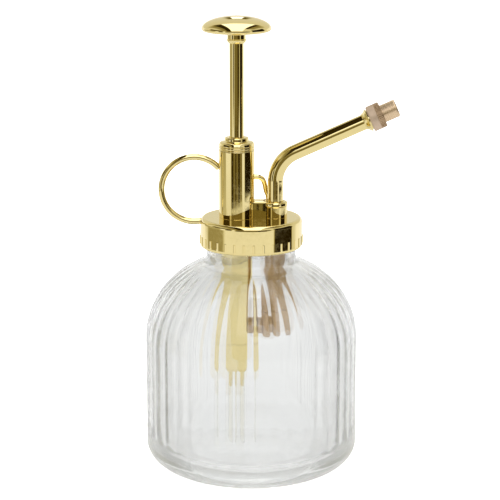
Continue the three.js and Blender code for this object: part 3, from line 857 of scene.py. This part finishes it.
def bridge_block():
    """Block between barrel and socket, hollowed to sit against both, its front and back softly bulged."""
    low, high = DISC_Z / MM, 94.4
    left, right = PUMP_X / MM, RISER_X / MM
    columns = 12
    bulge = 0.2
    rings = []
    leans = [(0, 0), (0.03, 0.001), (0.86, 0.033), (0.9, 0.035), (0.96, 0.07), (0.985, 0.16), (1, 0.38)]
    for level, inset in leans:
        z = low + (high - low) * level
        depth = 2.68 - inset
        across = [-depth + 2 * depth * k / columns for k in range(columns + 1)]
        socket_side = [(right - math.sqrt(4.12 ** 2 - y * y), y) for y in across]
        barrel_side = [(left + math.sqrt(6.13 ** 2 - y * y), y) for y in reversed(across)]
        ring = []
        for side, other, sign in ((socket_side, barrel_side, 1), (barrel_side, socket_side, -1)):
            ring += side
            start, end = side[-1][0], other[0][0]
            for k in range(1, columns):
                t = k / columns
                ring.append((start + (end - start) * t, sign * (depth + bulge * 4 * t * (1 - t))))
        rings.append([(x * MM, y * MM, z * MM) for x, y in ring])
    sides = len(rings[0])
    points = [p for ring in rings for p in ring]
    faces = ring_faces(rings, sides, False)
    faces.append(list(range(sides))[::-1])
    faces.append([sides * (len(rings) - 1) + k for k in range(sides)])
    return mesh_piece("bridge_solid", points, faces, "polished_gold")


class MISTER_OT_nozzle(bpy.types.Operator):
    """Knurled nozzle nut and the turned tip"""

    bl_idname = "mister.nozzle"
    bl_label = "Nozzle"

    def execute(self, context):
        spot = along_spout()
        corners = [(3.75, 34.8, 0), (4.15, 34.8, 0.1), (4.45, 35.15, 0.12), (4.45, 37.45, 0.08)]
        corners += [(4.25, 37.6, 0), (4.2, 39.25, 0), (4.0, NUT_END, 0.15), (3.2, NUT_END, 0.05)]
        corners += [(3.2, 38.9, 0), (3.75, 38.9, 0)]
        nut = turned("nut_body", corners, "rose_brass", placement=spot)
        place(nut, "nozzle", "rose_brass", "nozzle_nut")
        sizes = {"Count": context.scene.mister_head.knurls, "Ring_radius": 4.2 * MM, "Bar_radius": 0.22 * MM,
                 "Low": KNURL_LOW * MM, "High": KNURL_HIGH * MM}
        knurl = bars_round_axis("nut_knurl", "rose_brass", sizes)
        knurl.data.transform(spot)
        place(knurl, "nozzle", "rose_brass", "nozzle_nut")
        corners = [(1.5, 38.4, 0), (3.5, 38.4, 0), (3.5, 38.7, 0), (TIP_R, 38.7, 0), (TIP_R, 44.3, 0.15)]
        corners += [(2.7, 44.8, 0.15), (1.0, 44.8, 0.1), (0.35, 44.3, 0.05), (0.35, 43.4, 0), (1.5, 43.2, 0)]
        tip = turned("tip_turned", corners, "rose_brass", placement=spot)
        place(tip, "nozzle", "rose_brass", "nozzle_tip")
        return {"FINISHED"}


class MISTER_OT_water_path(bpy.types.Operator):
    """Riser, outlet valve, cross tube and dip tube seen through the glass"""

    bl_idname = "mister.water_path"
    bl_label = "Riser and dip tube"

    def execute(self, context):
        x = RISER_X
        corners = [(0, 47.4, 0), (3.4, 47.4, 0.2), (3.9, 47.9, 0.2), (3.9, 56.3, 0.2), (3.75, 56.48, 0)]
        corners += [(2.2, 56.48, 0), (2.2, 56, 0), (1.2, 54.5, 0), (1.2, 49, 0), (0, 49, 0)]
        valve = turned("outlet_body", corners, "raw_brass", x)
        place(valve, "head", "raw_brass", "outlet_valve")
        top = DISC_Z / MM
        corners = [(2.2, 56.52, 0), (3.6, 56.52, 0.15), (3.6, top - PLATE, 0.1), (2.65, top - PLATE, 0)]
        corners += [(2.65, 89.9, 0), (1.2, 89.9, 0), (1.2, 59.2, 0), (2.2, 58.85, 0)]
        riser = turned("riser_pipe", corners, "raw_brass", x)
        place(riser, "head", "raw_brass", "riser_tube")
        start, end = PUMP_X + 5.2 * MM, x - 3.8 * MM
        path = [Vector((start + (end - start) * k / 8, 0, PIPE_LEVEL * MM)) for k in range(9)]
        cross = bent_tube("cross_pipe", path, 2.9 * MM, 1.0 * MM, "raw_brass", 40)
        place(cross, "head", "raw_brass", "cross_tube")
        place(dip_tube(), "head", "clear_plastic", "dip_tube")
        return {"FINISHED"}


def dip_tube():
    """Plastic tube, cut at a slant at its foot."""
    slant = math.tan(math.radians(25))
    rings = []
    for radius, heights in ((2.6, (0, 0.3, 0.7, 1)), (2.0, (1, 0.7, 0.3, 0))):
        for level in heights:
            ring = []
            for k in range(48):
                a = TURN * k / 48
                foot = 9.0 - radius * math.cos(a) * slant
                z = foot + (34.9 - foot) * level
                ring.append((PUMP_X + radius * math.cos(a) * MM, radius * math.sin(a) * MM, z * MM))
            rings.append(ring)
    points = [p for ring in rings for p in ring]
    return mesh_piece("dip_tube_plastic", points, ring_faces(rings, 48, True), "clear_plastic")


class MISTER_OT_inner_parts(bpy.types.Operator):
    """Return spring, and finishes for the seals, piston and valve parts that stay as designed"""

    bl_idname = "mister.inner_parts"
    bl_label = "Inner parts"

    def execute(self, context):
        low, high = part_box("return_spring")
        wire = 0.42 * MM
        sizes = {"Coils": float(context.scene.mister_head.coils), "Coil_radius": 3.6 * MM, "Wire": wire,
                 "Foot": low.z + wire, "Rise": high.z - low.z - 2 * wire}
        tree, nodes, given = new_tree("return_spring_tree", **sizes)
        spiral = nodes.add("GeometryNodeCurveSpiral", 24)
        sockets = {"Rotations": "Coils", "Start Radius": "Coil radius", "End Radius": "Coil radius"}
        sockets["Height"] = "Rise"
        for key, label in sockets.items():
            nodes.tree.links.new(given[label], spiral.inputs[key])
        section = nodes.add("GeometryNodeCurvePrimitiveCircle", named={"Resolution": 10})
        nodes.tree.links.new(given["Wire"], section.inputs["Radius"])
        coil = nodes.add("GeometryNodeCurveToMesh", spiral.outputs[0], section.outputs[0])
        coil.inputs["Fill Caps"].default_value = True
        lift = nodes.add("ShaderNodeCombineXYZ", PUMP_X, 0.0, given["Foot"]).outputs[0]
        moved = nodes.add("GeometryNodeTransform", coil.outputs[0], named={"Translation": lift})
        end_tree(nodes, moved.outputs[0], "spring_steel")
        spring = baked("return_coil", empty_carrier(), tree, sizes, "spring_steel")
        place(spring, "head", "spring_steel", "return_spring")
        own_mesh(spring)
        slots = {row["node"]: row["material_slot"] for row in frame["record"]["subparts"]}
        kept = ["rod_seal", "seal_washer", "ball_stop", "piston_head", "piston_cup", "piston_washer"]
        kept += ["piston_nut", "inlet_ball", "outlet_ball", "nozzle_seal", "swirl_core"]
        for name in kept:
            mesh = frame["nodes"][name].data
            mesh.materials.clear()
            mesh.materials.append(finish_of(slots[name]))
        return {"FINISHED"}


# ---------------------------------------------------------------- stage


def floor_material(colour):
    """Backlit white table: it glows softly, so hardly any shadow shows on it."""
    material, nodes, shader = new_material("studio_floor", 0.6, Emission_Strength=0.75)
    where = nodes.add("ShaderNodeTexCoord").outputs["Object"]
    cloud = noise(nodes, where, 3, 2)
    link(nodes, two_tone(nodes, cloud, shaded(colour, 0.99), shaded(colour, 1.01)), shader, "Base Color")
    link(nodes, two_tone(nodes, cloud, (0.98, 0.98, 0.98), (1, 1, 1)), shader, "Emission Color")
    return material


def studio_world():
    """White surroundings. Metal also sees the dark gaps between softboxes, and clear glass a soft grey."""
    world = bpy.data.worlds.new("studio")
    bpy.context.scene.world = world
    world.use_nodes = True
    tree = world.node_tree
    nodes = Nodes(tree)
    calc = nodes.calc
    way = nodes.add("ShaderNodeTexCoord").outputs["Generated"]
    x, y, z = nodes.add("ShaderNodeSeparateXYZ", way).outputs
    degrees = 180 / math.pi
    azimuth = calc("MULTIPLY", calc("ARCTAN2", x, calc("MULTIPLY", y, -1.0)), degrees)
    flat = calc("SQRT", calc("ADD", calc("MULTIPLY", x, x), calc("MULTIPLY", y, y)))
    height = calc("MULTIPLY", calc("ARCTAN2", z, flat), degrees)
    slant = calc("MULTIPLY_ADD", azimuth, -PANEL_TILT, height)
    measures = {"azimuth": azimuth, "height": height, "slant": slant, "x": x, "y": y}

    def past(value, edge, soft):
        return nodes.step(value, edge - soft, edge + soft)

    def surroundings(ground, patches):
        light = nodes.add("ShaderNodeValue").outputs[0]
        light.default_value = ground
        for level, limits in patches:
            inside = None
            for name, (low, high, soft) in limits.items():
                value = measures[name]
                under = calc("SUBTRACT", 1.0, past(value, high, soft))
                band = calc("MULTIPLY", past(value, low, soft), under)
                inside = band if inside is None else calc("MULTIPLY", inside, band)
            light = calc("MULTIPLY_ADD", inside, calc("SUBTRACT", level, light), light)
        return light

    rays = nodes.add("ShaderNodeLightPath").outputs
    metal = surroundings(METAL_GROUND, METAL_SEES)
    dim = calc("MINIMUM", metal, 1.0)
    warm = nodes.add("ShaderNodeCombineColor", metal, calc("MULTIPLY", metal, calc("POWER", dim, 0.13)),
                     calc("MULTIPLY", metal, calc("POWER", dim, 0.8)))
    glass = nodes.add("ShaderNodeCombineColor", *[surroundings(GLASS_GROUND, GLASS_SEES)] * 3)
    pick = nodes.add("ShaderNodeMix", data_type="RGBA", named={
        0: rays["Is Glossy Ray"], 6: (OPEN_SKY, OPEN_SKY, OPEN_SKY, 1), 7: warm.outputs[0]})
    pick = nodes.add("ShaderNodeMix", data_type="RGBA", named={
        0: rays["Is Transmission Ray"], 6: pick.outputs[2], 7: glass.outputs[0]})
    back = tree.nodes["Background"]
    tree.links.new(pick.outputs[2], back.inputs["Color"])
    back.inputs["Strength"].default_value = 1


# The studio as a list of bright and dark panels: brightness, then the limits of the panel and their softness.
# Azimuth is 0 towards the camera and grows to its right, height is above the horizon, both in degrees;
# slant is the height on panels whose long edges tip a little from left to right, by PANEL_TILT per degree;
# x and y are the parts of the direction itself.
PANEL_TILT = 0.0045
OPEN_SKY = 1.15
METAL_GROUND = 0.78
METAL_SEES = [
    (1.1, {"azimuth": (-181, -118, 8), "height": (-90, 11, 1.5)}),
    (1.1, {"azimuth": (118, 181, 8), "height": (-90, 11, 1.5)}),
    (0.46, {"azimuth": (-128, -74, 4), "height": (-12.3, 4, 2)}),
    (1.0, {"azimuth": (-72, -38, 3), "height": (-12, 12, 2)}),
    (0.20, {"azimuth": (-36, 36, 3), "slant": (-12.2, 14, 0.15)}),
    (0.035, {"azimuth": (-33, -21, 2), "slant": (-12.2, -9.6, 0.1)}),
    (0.05, {"azimuth": (-9, -2, 2), "slant": (-12.2, -9.6, 0.1)}),
    (0.02, {"azimuth": (10, 20, 2.5), "slant": (-12.2, -9.6, 0.1)}),
    (0.02, {"azimuth": (-60, -44, 3), "height": (-9.4, 6, 1)}),
    (0.06, {"azimuth": (14, 44, 4), "height": (-9.4, 10, 1)}),
    (1.0, {"azimuth": (36, 51, 2.5), "slant": (-12.2, -9.6, 0.2)}),
    (0.95, {"azimuth": (-62, 52, 3), "height": (-14.4, -12.75, 0.15)}),
    (0.015, {"azimuth": (53, 104, 2.5), "height": (-14.2, 30, 0.3)}),
    (1.0, {"azimuth": (40, 115, 3), "slant": (-12.65, -12.2, 0.1)}),
    (0.92, {"height": (-91, -15, 1)}),
    (0.36, {"azimuth": (-115, -66, 4), "height": (-14.2, -12.6, 0.2)}),
    (0.05, {"azimuth": (-98, -45, 6), "height": (8, 27, 4)}),
    (0.3, {"x": (-0.72, -0.3, 0.1), "y": (-0.95, 0.5, 0.1), "height": (16, 80, 6)}),
    (0.03, {"x": (-0.5, -0.26, 0.04), "y": (-0.95, 0.55, 0.08), "height": (16, 84, 6)}),
    (0.3, {"x": (0.36, 0.72, 0.1), "y": (-0.3, 0.5, 0.1), "height": (30, 80, 6)}),
    (0.03, {"x": (0.32, 0.48, 0.04), "y": (-0.3, 0.55, 0.08), "height": (36, 84, 6)}),
    (1.9, {"x": (-0.27, 0.33, 0.02), "y": (-0.88, 0.56, 0.03), "height": (24, 91, 2)}),
    (0.14, {"x": (-0.07, 0.07, 0.02), "y": (0.7, 1.1, 0.02), "height": (16, 29, 1.5)}),
    (2.2, {"x": (-0.036, 0.03, 0.006), "y": (0.7, 1.1, 0.02), "height": (16.5, 27, 1.5)}),
]
GLASS_GROUND = 0.9
GLASS_SEES = [
    (0.8, {"height": (-91, -24, 10)}),
    (0.7, {"azimuth": (-115, 115, 14), "height": (8, 91, 10)}),
    (0.72, {"height": (50, 91, 12)}),
]


def softbox(name, location, aim, width, power):
    light = bpy.data.lights.new(name, "AREA")
    light.shape = "SQUARE"
    light.size = width
    light.energy = power
    lamp = bpy.data.objects.new(name, light)
    bpy.context.scene.collection.objects.link(lamp)
    lamp.location = location
    lamp.rotation_euler = (aim - lamp.location).to_track_quat("-Z", "Y").to_euler()
    lamp.visible_glossy = False
    lamp.visible_transmission = False
    return lamp


class MISTER_OT_stage(bpy.types.Operator):
    """Pale floor, soft studio light and the camera"""

    bl_idname = "mister.stage"
    bl_label = "Stage"

    def execute(self, context):
        settings = context.scene.mister_stage
        half = 6.0
        mesh = bpy.data.meshes.new("floor")
        corners = [(-half, -half, 0), (half, -half, 0), (half, half, 0), (-half, half, 0)]
        mesh.from_pydata(corners, [], [(0, 1, 2, 3)])
        mesh.materials.append(floor_material(settings.floor))
        floor = bpy.data.objects.new("floor", mesh)
        context.scene.collection.objects.link(floor)
        floor.visible_glossy = False
        floor.visible_transmission = False
        studio_world()
        centre = Vector((0, 0, 0.08))
        softbox("key_light", Vector((-0.5, -0.6, 1.1)), centre, 0.9, 9)
        softbox("fill_light", Vector((0.7, -0.3, 0.9)), centre, 0.8, 5)
        camera = bpy.data.objects.new("camera", bpy.data.cameras.new("camera"))
        context.scene.collection.objects.link(camera)
        context.scene.camera = camera
        aim = Vector((settings.aim_x, 0, settings.aim_z))
        back = Vector((0, -math.cos(settings.pitch), math.sin(settings.pitch)))
        camera.location = aim + back * settings.distance
        camera.rotation_euler = (math.pi / 2 - settings.pitch, 0, 0)
        camera.data.lens = settings.lens
        camera.data.sensor_width = 36
        context.scene.view_settings.view_transform = "Standard"
        return {"FINISHED"}


OPERATORS = [
    MISTER_OT_bottle, MISTER_OT_collar, MISTER_OT_barrel, MISTER_OT_plunger, MISTER_OT_wires, MISTER_OT_spout,
    MISTER_OT_nozzle, MISTER_OT_water_path, MISTER_OT_inner_parts, MISTER_OT_stage,
]


class MISTER_PT_panel(bpy.types.Panel):
    """Steps and sizes of the hand mister"""

    bl_idname = "MISTER_PT_panel"
    bl_label = "Hand Mister"
    bl_space_type = "VIEW_3D"
    bl_region_type = "UI"
    bl_category = "Mister"

    def draw(self, context):
        for group in ("mister_bottle", "mister_head", "mister_stage"):
            settings = getattr(context.scene, group)
            box = self.layout.box()
            for name in settings.__annotations__:
                box.prop(settings, name)
        for operator in OPERATORS:
            self.layout.operator(operator.bl_idname)


CLASSES = [BottleSettings, HeadSettings, StageSettings, *OPERATORS, MISTER_PT_panel]


def register():
    for item in CLASSES:
        bpy.utils.register_class(item)
    bpy.types.Scene.mister_bottle = bpy.props.PointerProperty(type=BottleSettings)
    bpy.types.Scene.mister_head = bpy.props.PointerProperty(type=HeadSettings)
    bpy.types.Scene.mister_stage = bpy.props.PointerProperty(type=StageSettings)


def unregister():
    for name in ("mister_bottle", "mister_head", "mister_stage"):
        delattr(bpy.types.Scene, name)
    for item in reversed(CLASSES):
        bpy.utils.unregister_class(item)


def main():
    register()
    for operator in OPERATORS:
        step = operator.bl_idname.split(".")[1]
        getattr(bpy.ops.mister, step)()


if __name__ == "__main__":
    main()
